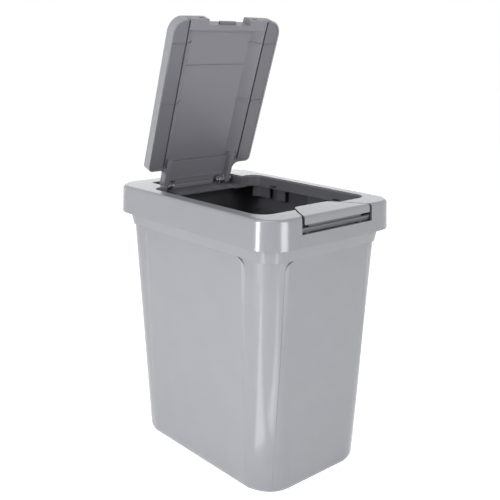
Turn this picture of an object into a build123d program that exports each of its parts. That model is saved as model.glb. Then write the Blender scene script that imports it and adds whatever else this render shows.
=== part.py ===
from build123d import *

import os
from math import ceil, cos, hypot, pi, radians, sin, sqrt

# A free-standing countertop waste bin.  Millimetres, +Z up, the floor of the
# bin stands on z = 0 and the origin is under the middle of the collar.
# The short side with the push bar faces -Y, the lid hinge is at +Y.

# ---------------------------------------------------------------- collar ----
COLLAR_TOP_Z = 310.0        # height of the collar's flat top over the counter
COLLAR_HALF_X = 93.9
COLLAR_HALF_Y = 135.3
COLLAR_CORNER_R = 27.5
COLLAR_DEPTH = 31.0
COLLAR_FLARE = 1.5          # the skirt widens this much from top to bottom
COLLAR_WALL = 2.2
COLLAR_PLATE = 2.4          # thickness of the flat top
COLLAR_EDGE_R = 3.5         # rounding of the outer top edge
RIB_THICK = 1.6             # centring ribs inside the skirt
RIB_GAP = 0.4               # from those ribs to the bin's rim bead
RIB_SPACING = 58.0

# ------------------------------------------------------- opening and notch ----
RIM_SIDE = 14.5             # width of the collar's flat top, opening to edge
RIM_FRONT = 28.3
RIM_BACK = 54.7
OPENING_FRONT_R = 17.0
OPENING_BACK_R = 14.0

# ---------------------------------------------------------------- bin body ----
BODY_WALL = 2.0
BODY_FLOOR = 2.6
NECK_GAP = 5.3              # from the skirt's inside to the bin's neck
NECK_CORNER_R = 26.0
RIM_BEAD = 1.6
RIM_BEAD_HEIGHT = 5.0
COLLAR_SEAT_GAP = 0.3       # from the bin's rim to the frame that rests on it
SHOULDER_HEIGHT = 15.0      # the flare below the collar
SHOULDER_IN = 2.8
SHOULDER_CORNER_R = 24.0
TAPER_X = 6.9               # the sides draw in this much down to the base
TAPER_Y = 7.6
BASE_CORNER_R = 36.9
BASE_EDGE_R = 9.0
PANEL_PROUD_TOP = 1.4       # flat panels stand out from the corner columns
PANEL_PROUD_BASE = 0.3
SIDE_COLUMN = 43.0          # width of a corner column on the long side
FRONT_COLUMN = 26.0         # width of a corner column on the short side
PANEL_CORNER_R = 12.0
PANEL_RAMP = 3.0            # a panel's edge slopes, this many times its height
PANEL_OVERCUT = 2.0         # the block that cuts a panel out passes its faces by this
FOOT_RING = 22.0            # width of the ring that the base stands on
FOOT_RECESS = 1.2

# ------------------------------------------------------------- inner frame ----
FLANGE = 2.4
FLANGE_GAP = 1.2            # from the collar's skirt to the frame's flange
BAND_WALL = 2.0             # upright wall round the opening
BAND_DEPTH = 13.0
LEDGE = 5.0                 # inward shelf under the lid's edge
LEDGE_THICK = 2.0
TAB_DEPTH = 14.0            # guide tabs below the ledge
TAB_WIDTH = 14.0
FRAME_WALL = 2.4
NOTCH_SIDE_GAP = 7.0        # from the lid's tongue to the hinge recess's side
NOTCH_RIM = 22.8            # collar left behind the hinge recess
NOTCH_CORNER_R = 3.0

# --------------------------------------------------------------------- lid ----
HINGE_INSET = 33.8          # hinge axis to the collar's back
HINGE_DROP = 5.2            # hinge axis below the collar's top
LID_OPEN_DEG = 71.5         # the stored pose; the closed pose is 0
LID_RIM_DROP = 4.4          # the closed lid's lower edge below the hinge axis
LID_EDGE_HEIGHT = 12.2      # side wall of the lid
LID_CROWN = 3.0             # the lid's middle is this much higher than its sides
LID_SIDE_GAP = 2.6          # lid to the opening's edge
LID_FRONT_GAP = 5.5
LID_BACK_GAP = 3.7
LID_FRONT_R = 17.0
LID_BACK_R = 6.0
LID_EDGE_R = 2.8
COVER_WALL = 2.0
COVER_TOP = 1.8
LID_NOTCH_SIDE_GAP = 1.6    # from the lid's cut-out to the push bar's waist
LID_NOTCH_DEPTH = 6.5
FRONT_SKIRT_CORNER = 16.8   # full-depth skirt left at each front corner
FRONT_SKIRT_LEFT = 3.6      # what is left of the cover's skirt at the front
LINER_WALL = 1.6
LINER_GAP = 0.1             # liner to cover
STRIP_RECESS = 0.6          # the liner's side strips sit above the cover's edge
STRIP_THICK = 1.8
STRIP_WIDTH = 21.0          # side strip, from the lid's edge to the pan
PAN_SIDE_SLOPE = 18.8
PAN_FRONT_STRIP = 12.2
PAN_FRONT_SLOPE = 0.5
PAN_RIB_AT = 55.9           # ribs, measured from the lid's front edge
PAN_RIB_WIDTH = 1.6
PAN_RIB_HEIGHT = 1.2
PAN_GROOVE = (2.0, 3.0)     # width and depth of the groove along the pan's sides
STRIP_RIBS_AT = (28.5, 97.5)
STRIP_RIB_WIDTH = 2.0
STRIP_RIB_HEIGHT = 0.9
WALL_RIB_ACROSS = 2.0       # the same ribs on the pan's sloped sides, measured level
TONGUE_INSET = 43.4         # from the collar's side to the tongue's side
TONGUE_ROOT_R = 9.0
TONGUE_TOP_DROP = 0.6       # the tongue's top below the collar's top
TONGUE_WEB = 2.5
TONGUE_HEEL = 5.5           # the web runs this far past the hinge axis
TONGUE_RIB_AHEAD = 2.0      # rib across the tongue, in front of the spring windows
WEB_INSET = 20.5            # from the tongue's side to the web between the springs
WEB_WINDOW_FRONT = 6.0      # the windows for the springs start before the axis
ARM_THICK = 6.0
ARM_ROOT_DEPTH = 12.9       # the arms reach this far under the lid
SNAP_WINDOW = (7.0, 3.0)
SNAP_X = 38.0

# ------------------------------------------------------ hinge pins, springs ----
PIN_R = 2.5
PIN_PRESS_GAP = 0.02
PIN_RUN_GAP = 0.08
PIN_INSET = 17.5            # the pin reaches this far in from the tongue's side
PIN_OUTER_PAST_WALL = 2.0
PIN_EDGE = 0.5
KNUCKLE_WALL = 2.1
SPRING_WIRE_R = 0.6
SPRING_COIL_R = 3.5
SPRING_TURNS = 4
SPRING_PITCH = 1.9
SPRING_ARM_GAP = 0.8
SPRING_FLOOR_GAP = 0.3
SPRING_LEG_DEG = 130.0      # where the moving leg leaves the coil, lid closed
STOP_GAP = 0.3
ARM_FLOOR_GAP = 1.0         # low floor under the arm, wider than the arm
KNUCKLE_GAP = 1.4

# -------------------------------------------------------------------- catch ----
CATCH_HALF_X = 11.5
CATCH_HOLD = 1.6            # how far the catch reaches under the push bar
CATCH_THICK = 3.0
CATCH_BELOW_LIP = 0.3
CATCH_FLANGE = 2.0
CATCH_FLANGE_OVER = 3.0
CATCH_FIT = 0.15

# ----------------------------------------------------------------- push bar ----
BAR_LID_GAP = 1.5           # from the lid's cut-out to the bar's back edge
BAR_BACK_HALF_X = 21.0
BAR_WAIST_HALF_X = 28.5
BAR_WAIST_DEPTH = 6.6       # the waist is this far in front of the back edge
BAR_FRONT_INSET = 44.1      # from the collar's side to the bar's front corner
BAR_WAIST_BULGE = 1.3       # bow of the short side and of the long side
BAR_SIDE_BULGE = 1.0
BAR_GAP = 2.0               # bar to collar
BAR_FACE_HEIGHT = 8.4
BAR_WALL = 2.0
BAR_PRESS_DEG = 7.0
BAR_PRESS_GAP = 0.6         # pressed bar to the housing's front wall
SLOT_HEIGHT = 9.6           # finger slot under the bar's face
BAR_PIVOT_BACK = 10.0       # pivot axis in front of the bar's back edge
BAR_PIVOT_DROP = 16.0
ROD_R = 2.0
ROD_RUN_GAP = 0.1
ROD_HOLD_GAP = 0.03
EAR_X = 20.0
EAR_THICK = 4.0
EAR_R = 4.0
BRACKET_X = 27.0
BRACKET_THICK = 3.5
BRACKET_R = 4.0
BRACKET_FOOT = 3.0          # the bracket stands on the housing's floor this far in
ROD_CLIP_R = 4.2
ROD_CLIP_THICK = 0.6
ROD_PAST_CLIP = 1.2
HOOK_X = 37.0
HOOK_WIDTH = 4.0
HOOK_ARM = 2.0
HOOK_TOE = 6.0
HOOK_TOE_THICK = 2.2
HOOK_GAP = 0.3
HOOK_CLEAR = 1.0            # window in the housing's floor, round the hook
HOOK_WINDOW_PAST = 1.5
HOOK_TOE_BACK = 0.4         # the toe's tip behind the housing's front wall
LATCH_WALL = 2.0
LATCH_SIDE = 3.2            # housing's inside wider than the bar on each side
LATCH_FLOOR_THICK = 2.2
LATCH_STEP = 0.8            # housing's underside above the finger slot's lower edge
LATCH_BACK_GAP = 4.0        # from the band round the opening to the housing's floor
LATCH_WALL_BACK = 3.8       # housing's front wall behind the collar's face
LATCH_RIB = 1.9
RIM_DIP_SIDE = 1.5          # the bin's rim dips in front to clear the housing
RIM_DIP_DEPTH = 7.5
RIM_DIP_R = 6.0
BAR_SPRING_X = 31.0
BAR_SPRING_INSET = 14.3
BAR_SPRING_R = 3.4
BAR_SPRING_WIRE_R = 0.45
BAR_SPRING_TURNS = 5
BAR_SPRING_GAP = 0.3

# -------------------------------------------------------------------- fixings ----
BOSS_R = 3.2
BOSS_DEPTH = 6.1
CUP_WALL = 1.6
CUP_FIT = 0.2
CUP_FLOOR = 2.0
SCREW_R = 1.2
SCREW_FIT = 0.05
SCREW_HEAD_R = 2.8
SCREW_HEAD = 1.7
SCREW_BITE = 5.0
FRONT_SCREW = (27.9, 15.8)  # in from the collar's side and from its front
SIDE_SCREW = (21.9, 35.3)   # in from the side and from the back
BACK_SCREW = (63.9, 13.8)
PAD_SIZE = (3.4, 9.0)
PAD_GAP = 0.3
PADS_AT = (39.5, 143.5)     # from the lid's front edge

# ----------------------------------------------------------- worked-out sizes ----
OPENING_HALF_X = COLLAR_HALF_X - RIM_SIDE
TONGUE_HALF_X = COLLAR_HALF_X - TONGUE_INSET
WEB_HALF_X = TONGUE_HALF_X - WEB_INSET
PIN_INNER_X = TONGUE_HALF_X - PIN_INSET
BAR_FRONT_HALF_X = COLLAR_HALF_X - BAR_FRONT_INSET
OPENING_FRONT_Y = RIM_FRONT - COLLAR_HALF_Y
OPENING_BACK_Y = COLLAR_HALF_Y - RIM_BACK
NOTCH_HALF_X = TONGUE_HALF_X + NOTCH_SIDE_GAP
NOTCH_BACK_Y = COLLAR_HALF_Y - NOTCH_RIM
HINGE_Y = COLLAR_HALF_Y - HINGE_INSET
HINGE_Z = COLLAR_TOP_Z - HINGE_DROP
LID_HALF_X = OPENING_HALF_X - LID_SIDE_GAP
LID_FRONT_Y = OPENING_FRONT_Y + LID_FRONT_GAP
LID_BACK_Y = OPENING_BACK_Y - LID_BACK_GAP
LID_NOTCH_HALF_X = BAR_WAIST_HALF_X + LID_NOTCH_SIDE_GAP
FRONT_SKIRT_CUT_HALF_X = LID_HALF_X - FRONT_SKIRT_CORNER
PAN_RIM_HALF_X = LID_HALF_X - STRIP_WIDTH
PAN_FLOOR_HALF_X = PAN_RIM_HALF_X - PAN_SIDE_SLOPE
PAN_FRONT_Y = LID_FRONT_Y + PAN_FRONT_STRIP
ARM_ROOT_Y = LID_BACK_Y - ARM_ROOT_DEPTH
BAR_SPRING_Y = BAR_SPRING_INSET - COLLAR_HALF_Y
LATCH_HALF_X = BAR_FRONT_HALF_X + LATCH_SIDE

collar_bottom_z = COLLAR_TOP_Z - COLLAR_DEPTH
plate_under_z = COLLAR_TOP_Z - COLLAR_PLATE
flange_under_z = plate_under_z - FLANGE
band_bottom_z = COLLAR_TOP_Z - BAND_DEPTH
ledge_top_z = band_bottom_z + LEDGE_THICK

neck_half_x = COLLAR_HALF_X + COLLAR_FLARE - COLLAR_WALL - NECK_GAP
neck_half_y = COLLAR_HALF_Y + COLLAR_FLARE - COLLAR_WALL - NECK_GAP
shoulder_half_x = neck_half_x - SHOULDER_IN
shoulder_half_y = neck_half_y - SHOULDER_IN
shoulder_z = collar_bottom_z - SHOULDER_HEIGHT
base_half_x = shoulder_half_x - TAPER_X
base_half_y = shoulder_half_y - TAPER_Y
rim_z = flange_under_z - COLLAR_SEAT_GAP

lid_rim_z = HINGE_Z - LID_RIM_DROP
lid_side_z = lid_rim_z + LID_EDGE_HEIGHT
lid_top_z = lid_side_z + LID_CROWN
crown_r = (LID_HALF_X ** 2 + LID_CROWN ** 2) / (2 * LID_CROWN)
strip_under_z = lid_rim_z + STRIP_RECESS
strip_top_z = strip_under_z + STRIP_THICK
tongue_top_z = COLLAR_TOP_Z - TONGUE_TOP_DROP
web_under_z = tongue_top_z - TONGUE_WEB
knuckle_r = PIN_R + KNUCKLE_WALL
arm_inner_x = TONGUE_HALF_X - ARM_THICK
notch_floor_z = HINGE_Z - knuckle_r - KNUCKLE_GAP
pin_outer_x = NOTCH_HALF_X + FRAME_WALL + PIN_OUTER_PAST_WALL

notch_bottom_y = LID_FRONT_Y + LID_NOTCH_DEPTH
bar_back_y = notch_bottom_y - BAR_LID_GAP
BAR_PIVOT_Y = bar_back_y - BAR_PIVOT_BACK
BAR_PIVOT_Z = COLLAR_TOP_Z - BAR_PIVOT_DROP
catch_tip_y = bar_back_y - CATCH_HOLD
bar_face_z = COLLAR_TOP_Z - BAR_FACE_HEIGHT
slot_bottom_z = bar_face_z - SLOT_HEIGHT
bar_under_z = plate_under_z
latch_front_y = -(COLLAR_HALF_Y - LATCH_WALL_BACK)
latch_under_z = slot_bottom_z + LATCH_STEP
latch_floor_z = latch_under_z + LATCH_FLOOR_THICK
latch_back_y = OPENING_FRONT_Y - BAND_WALL - LATCH_BACK_GAP

hinge_axis = Axis((0, HINGE_Y, HINGE_Z), (1, 0, 0))


# ---------------------------------------------------------------- small tools ----
def slab(outline, low_z, high_z):
    """A flat outline, drawn in plan, made solid between two heights."""
    return extrude(Pos(0, 0, low_z) * outline, high_z - low_z)


def block(x_span, y_span, z_span):
    """A box from its three spans."""
    size = [high - low for low, high in (x_span, y_span, z_span)]
    middle = [(high + low) / 2 for low, high in (x_span, y_span, z_span)]
    return Pos(*middle) * Box(*size)


def both_sides(solid):
    """The solid and its mirror image across the YZ plane."""
    return solid + mirror(solid, about=Plane.YZ)


def plan(half_x, front_y, back_y, front_r, back_r):
    """A rectangle in plan with its own corner radius front and back."""
    area = Pos(0, (front_y + back_y) / 2) * Rectangle(2 * half_x, back_y - front_y)
    area = fillet(area.vertices().group_by(Axis.Y)[0], front_r)
    return fillet(area.vertices().group_by(Axis.Y)[-1], back_r)


def frustum(low, high):
    """Straight-sided solid between two rounded rectangles (half_x, half_y, r, z)."""
    ends = [Pos(0, 0, z) * RectangleRounded(2 * hx, 2 * hy, r) for hx, hy, r, z in (low, high)]
    return loft(ends, ruled=True)


def side_profile(profile, low_x, high_x):
    """A profile drawn in the YZ plane, made solid between two x values."""
    return extrude(Plane.YZ.offset(low_x) * profile, high_x - low_x)


def rod(x_span, y, z, radius):
    """A round rod along X."""
    length = x_span[1] - x_span[0]
    return Plane.YZ.offset(x_span[0]) * Pos(y, z) * extrude(Circle(radius), length)


def opened(solid):
    """Turn a lid piece from the closed pose to the stored, open one."""
    return solid.rotate(hinge_axis, -LID_OPEN_DEG)


def largest(shape):
    """The one big solid of a shape, without slivers left by a cut."""
    return shape.solids().sort_by(SortBy.VOLUME)[-1]


# -------------------------------------------------------------------- springs ----
def biarc(start, start_dir, end, end_dir):
    """Two arcs that join two points along given directions."""
    chord = end - start
    total = start_dir + end_dir
    a = 4 - total.dot(total)
    b = 2 * chord.dot(total)
    c = -chord.dot(chord)
    reach = (-b + sqrt(b * b - 4 * a * c)) / (2 * a)
    first = start + start_dir * reach
    second = end - end_dir * reach
    middle = (first + second) * 0.5
    return [
        TangentArc(start, middle, tangent=start_dir),
        TangentArc(middle, end, tangent=second - first),
    ]


def coil(radius, pitch, start_deg, turn_deg, wire_r, start_leg, end_leg):
    """A coil along +X round the origin, with straight legs off both ends.

    The coil turns by turn_deg, negative from +Z towards +Y.  Prints the least
    gap between neighbouring turns.
    """
    sense = 1 if turn_deg > 0 else -1
    rise = pitch / (2 * pi)

    def point(deg):
        a = radians(deg)
        return Vector(rise * abs(radians(deg - start_deg)), radius * cos(a), radius * sin(a))

    def heading(deg):
        a = radians(deg)
        return Vector(rise, -sense * radius * sin(a), sense * radius * cos(a)).normalized()

    quarters = ceil(abs(turn_deg) / 90)
    marks = [start_deg + turn_deg * i / quarters for i in range(quarters + 1)]
    edges = [Line(point(marks[0]) - heading(marks[0]) * start_leg, point(marks[0]))]
    for here, there in zip(marks, marks[1:]):
        edges += biarc(point(here), heading(here), point(there), heading(there))
    edges.append(Line(point(marks[-1]), point(marks[-1]) + heading(marks[-1]) * end_leg))
    path = Wire(edges)
    steps = [start_deg + turn_deg * i / (quarters * 24) for i in range(quarters * 24 + 1)]
    line = [point(deg) for deg in steps]
    apart = min(
        (line[i] - line[j]).length
        for i in range(len(line))
        for j in range(i + 60, len(line))
    )
    print(f"coil of radius {radius}: least gap between turns {apart - 2 * wire_r:.2f} mm")
    section = Plane(path @ 0, z_dir=path % 0) * Circle(wire_r)
    return sweep(section, path=path)


# ------------------------------------------------------------------- bin body ----
def body_form(inset, floor_z, edge_r, shoulder_lift):
    """The bin's tapered form with its proud panels, drawn in by one wall."""
    low = (base_half_x - inset, base_half_y - inset, BASE_CORNER_R - inset, floor_z)
    high = (shoulder_half_x - inset, shoulder_half_y - inset, SHOULDER_CORNER_R - inset,
            shoulder_z + shoulder_lift)
    core_low = (low[0] - PANEL_PROUD_BASE, low[1] - PANEL_PROUD_BASE, low[2], low[3])
    core_high = (high[0] - PANEL_PROUD_TOP, high[1] - PANEL_PROUD_TOP, high[2], high[3])
    full = frustum(low, high)
    full = fillet(full.faces().sort_by(Axis.Z)[0].edges(), edge_r)
    core = frustum(core_low, core_high)
    core = fillet(core.faces().sort_by(Axis.Z)[0].edges(), edge_r)
    side_half = shoulder_half_y - SIDE_COLUMN - inset
    front_half = shoulder_half_x - FRONT_COLUMN - inset
    height = high[3] - floor_z + BASE_EDGE_R
    middle_z = high[3] - height / 2
    form = core
    for half, face, plane, turn in ((side_half, 0, Plane.YZ, 0), (front_half, 1, Plane.XZ, 90)):
        gate_half = half + PANEL_PROUD_TOP * PANEL_RAMP
        gate = Pos(0, middle_z) * Rectangle(2 * gate_half, height)
        gate = fillet(gate.vertices().group_by(Axis.Y)[-1], PANEL_CORNER_R)
        gate = extrude(plane * gate, COLLAR_HALF_Y + COLLAR_HALF_X, both=True)
        slopes = ramped_gate((low[face], low[3], PANEL_PROUD_BASE),
                             (high[face], high[3], PANEL_PROUD_TOP), half)
        panel = gate & (Rot(0, 0, turn) * slopes)
        form += full & panel
    return form


def ramped_gate(low, high, half):
    """A block across two opposite panels whose upright edges slope back to the columns."""
    sections = []
    for out, z, proud in (low, high):
        deep = out - proud - PANEL_OVERCUT
        high_face = out + PANEL_OVERCUT
        wide = half + (proud + PANEL_OVERCUT) * PANEL_RAMP
        narrow = half - PANEL_OVERCUT * PANEL_RAMP
        right = [(deep, -wide), (high_face, -narrow), (high_face, narrow), (deep, wide)]
        left = [(-x, -y) for x, y in right]
        sections.append(Pos(0, 0, z) * make_face(Polyline(right + left, close=True)))
    return loft(sections, ruled=True)


def neck_form(inset, shoulder_lift):
    """The flare under the collar and the upright neck inside it."""
    low = (shoulder_half_x - inset, shoulder_half_y - inset, SHOULDER_CORNER_R - inset,
           shoulder_z + shoulder_lift)
    mid = (neck_half_x - inset, neck_half_y - inset, NECK_CORNER_R - inset, collar_bottom_z)
    top = (neck_half_x - inset, neck_half_y - inset, NECK_CORNER_R - inset, rim_z)
    return frustum(low, mid) + frustum(mid, top)


def make_bin_body():
    """One thin moulding: floor, tapered walls, corner columns, neck and rim."""
    solid = body_form(0, 0, BASE_EDGE_R, 0) + neck_form(0, 0)
    bead = RectangleRounded(2 * (neck_half_x + RIM_BEAD), 2 * (neck_half_y + RIM_BEAD),
                            NECK_CORNER_R + RIM_BEAD)
    solid += slab(bead, rim_z - RIM_BEAD_HEIGHT, rim_z)
    solid -= body_form(BODY_WALL, BODY_FLOOR, BASE_EDGE_R - BODY_WALL, BODY_WALL)
    solid -= neck_form(BODY_WALL, BODY_WALL)
    dip_half = LATCH_HALF_X + LATCH_WALL + RIM_DIP_SIDE
    dip_low = latch_under_z - RIM_DIP_DEPTH
    dip = Pos(0, (dip_low + COLLAR_TOP_Z) / 2) * RectangleRounded(
        2 * dip_half, COLLAR_TOP_Z - dip_low, RIM_DIP_R)
    solid -= Pos(0, -neck_half_y, 0) * extrude(Plane.XZ * dip, NECK_CORNER_R / 2, both=True)
    foot_x = base_half_x - FOOT_RING
    foot_y = base_half_y - FOOT_RING
    foot_r = BASE_CORNER_R - FOOT_RING / 2
    solid -= slab(RectangleRounded(2 * foot_x, 2 * foot_y, foot_r), 0, FOOT_RECESS)
    return largest(solid)


# --------------------------------------------------------------------- collar ----
def collar_form(inset, top_drop):
    """The collar's outer form, or the same form drawn in by its wall."""
    low = (COLLAR_HALF_X + COLLAR_FLARE - inset, COLLAR_HALF_Y + COLLAR_FLARE - inset,
           COLLAR_CORNER_R + COLLAR_FLARE - inset, collar_bottom_z)
    high = (COLLAR_HALF_X - inset, COLLAR_HALF_Y - inset, COLLAR_CORNER_R - inset,
            COLLAR_TOP_Z - top_drop)
    return frustum(low, high)


def collar_skin():
    """The collar's outer form with its rounded top edge."""
    form = collar_form(0, 0)
    return fillet(form.faces().sort_by(Axis.Z)[-1].edges(), COLLAR_EDGE_R)


def opening_plan(grow=0.0):
    """The waste opening in plan, grown or drawn in evenly."""
    return plan(OPENING_HALF_X + grow, OPENING_FRONT_Y - grow, OPENING_BACK_Y + grow,
                OPENING_FRONT_R + grow, OPENING_BACK_R + grow)


def notch_plan():
    """The hinge recess in plan, open to the waste opening."""
    start_y = OPENING_BACK_Y - OPENING_BACK_R
    return plan(NOTCH_HALF_X, start_y, NOTCH_BACK_Y, NOTCH_CORNER_R, NOTCH_CORNER_R)


def bowed(start, end, bulge):
    """The middle of two plan points, moved outwards to bow the line between them."""
    run = (end[0] - start[0], end[1] - start[1])
    share = bulge / hypot(*run)
    return ((start[0] + end[0]) / 2 - run[1] * share, (start[1] + end[1]) / 2 + run[0] * share)


def bar_plan(grow=0.0):
    """The push bar in plan: narrow at the lid, wide at the collar's face."""
    front_y = -(COLLAR_HALF_Y + COLLAR_FLARE + BAR_GAP)
    shoulder = (BAR_BACK_HALF_X, bar_back_y)
    waist = (BAR_WAIST_HALF_X, bar_back_y - BAR_WAIST_DEPTH)
    corner = (BAR_FRONT_HALF_X, front_y)
    right = [
        Line((0, bar_back_y), shoulder),
        ThreePointArc(shoulder, bowed(shoulder, waist, BAR_WAIST_BULGE), waist),
        ThreePointArc(waist, bowed(waist, corner, BAR_SIDE_BULGE), corner),
        Line(corner, (0, front_y)),
    ]
    left = [edge.mirror(Plane.YZ) for edge in right]
    area = make_face(Wire(right + left))
    return offset(area, grow) if grow else area


def screw_places():
    """Where the six screws hold the frame up under the collar."""
    front = (COLLAR_HALF_X - FRONT_SCREW[0], FRONT_SCREW[1] - COLLAR_HALF_Y)
    behind = [(COLLAR_HALF_X - x, COLLAR_HALF_Y - y) for x, y in (SIDE_SCREW, BACK_SCREW)]
    return [(sx * x, y) for x, y in [front] + behind for sx in (-1, 1)]


def make_collar():
    """The silver rim: flat top, skirt, waste opening, hinge recess, bar cut-out."""
    solid = collar_skin() - collar_form(COLLAR_WALL, COLLAR_PLATE)
    for place in screw_places():
        boss = Pos(*place) * Circle(BOSS_R)
        solid += slab(boss, plate_under_z - BOSS_DEPTH, plate_under_z)
    rib_out_x = COLLAR_HALF_X - COLLAR_WALL / 2
    rib_out_y = COLLAR_HALF_Y - COLLAR_WALL / 2
    rib_in_x = neck_half_x + RIM_BEAD + RIB_GAP
    rib_in_y = neck_half_y + RIM_BEAD + RIB_GAP
    rib_z = (collar_bottom_z + RIB_THICK, flange_under_z)
    for at in (-RIB_SPACING, RIB_SPACING):
        along_x = (at - RIB_THICK / 2, at + RIB_THICK / 2)
        for sign in (-1, 1):
            side = sorted((sign * rib_in_x, sign * rib_out_x))
            end = sorted((sign * rib_in_y, sign * rib_out_y))
            solid += block(side, along_x, rib_z)
            solid += block(along_x, end, rib_z)
    hole = opening_plan() + notch_plan()
    solid -= slab(hole, plate_under_z - BOSS_DEPTH, COLLAR_TOP_Z)
    solid -= slab(bar_plan(BAR_GAP), plate_under_z, COLLAR_TOP_Z)
    face_half = BAR_FRONT_HALF_X + BAR_GAP
    solid -= block((-face_half, face_half), (-COLLAR_HALF_Y - 2 * COLLAR_WALL, latch_front_y),
                   (slot_bottom_z, COLLAR_TOP_Z))
    for place in screw_places():
        pilot = Pos(*place) * Circle(SCREW_R + SCREW_FIT)
        solid -= slab(pilot, plate_under_z - BOSS_DEPTH, plate_under_z)
    return largest(solid)


# ---------------------------------------------------------------- inner frame ----
def hinge_housing():
    """Trough under the hinge recess: floors, side walls and back wall."""
    front_y = OPENING_BACK_Y - LEDGE
    wall_out = NOTCH_HALF_X + FRAME_WALL
    floor_low = notch_floor_z - FRAME_WALL
    stop_z = stop_floor_z()
    spring_x = arm_inner_x - ARM_FLOOR_GAP
    solid = block((-wall_out, wall_out), (front_y, NOTCH_BACK_Y + FRAME_WALL),
                  (floor_low, plate_under_z))
    solid -= block((-NOTCH_HALF_X, NOTCH_HALF_X), (front_y, NOTCH_BACK_Y),
                   (stop_z, COLLAR_TOP_Z))
    solid -= both_sides(block((spring_x, NOTCH_HALF_X), (front_y, NOTCH_BACK_Y),
                              (notch_floor_z, COLLAR_TOP_Z)))
    solid -= block((-wall_out, wall_out), (front_y, OPENING_BACK_Y), (ledge_top_z, plate_under_z))
    hollow_half = spring_x - FRAME_WALL
    solid -= block((-hollow_half, hollow_half), (front_y, NOTCH_BACK_Y),
                   (floor_low, stop_z - FRAME_WALL))
    return solid


def stop_floor_z():
    """Height of the floor that the tongue's heel meets when the lid is open."""
    turned = radians(-LID_OPEN_DEG)
    low_corner = (TONGUE_HEEL, web_under_z - HINGE_Z)
    return HINGE_Z + low_corner[0] * sin(turned) + low_corner[1] * cos(turned) - STOP_GAP


def bar_housing():
    """Box behind the finger slot: it backs the slot, carries springs and rod."""
    wall_out = LATCH_HALF_X + LATCH_WALL
    y_span = (latch_front_y, latch_back_y)
    solid = block((-wall_out, wall_out), y_span, (latch_under_z, latch_floor_z))
    solid += block((-wall_out, wall_out), (latch_front_y, latch_front_y + LATCH_WALL),
                   (latch_under_z, bar_face_z - LATCH_RIB / 2))
    press = radians(BAR_PRESS_DEG)
    pressed_z = BAR_PIVOT_Z + (latch_front_y - BAR_PIVOT_Y) * sin(press)
    pressed_z += (bar_face_z - BAR_PIVOT_Z) * cos(press) - BAR_PRESS_GAP
    solid -= both_sides(block((HOOK_X + BAR_WALL, wall_out), (latch_front_y, latch_front_y + LATCH_WALL),
                              (pressed_z, bar_face_z)))
    rib_half = BAR_FRONT_HALF_X + BAR_GAP - RIB_THICK
    rib_middle_z = (slot_bottom_z + bar_face_z) / 2
    solid += block((-rib_half, rib_half), (latch_front_y - LATCH_RIB, latch_front_y),
                   (rib_middle_z - LATCH_RIB / 2, rib_middle_z + LATCH_RIB / 2))
    solid += both_sides(block((LATCH_HALF_X, wall_out), (latch_front_y, OPENING_FRONT_Y + LEDGE),
                              (latch_under_z, flange_under_z)))
    profile = Pos(BAR_PIVOT_Y, BAR_PIVOT_Z) * Circle(BRACKET_R)
    foot_y = latch_back_y - BRACKET_FOOT
    profile += Pos((BAR_PIVOT_Y + foot_y) / 2, BAR_PIVOT_Z) * Rectangle(
        BAR_PIVOT_Y - foot_y, 2 * BRACKET_R)
    solid += both_sides(side_profile(profile, BRACKET_X, BRACKET_X + BRACKET_THICK))
    window_y = latch_front_y + LATCH_WALL
    window = block((HOOK_X - HOOK_CLEAR, HOOK_X + HOOK_WIDTH + HOOK_CLEAR),
                   (window_y, window_y + HOOK_TOE + HOOK_WINDOW_PAST), (latch_under_z, latch_floor_z))
    solid -= both_sides(window)
    reach = BRACKET_X + BRACKET_THICK
    solid -= rod((-reach, reach), BAR_PIVOT_Y, BAR_PIVOT_Z, ROD_R + ROD_HOLD_GAP)
    return solid


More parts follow.
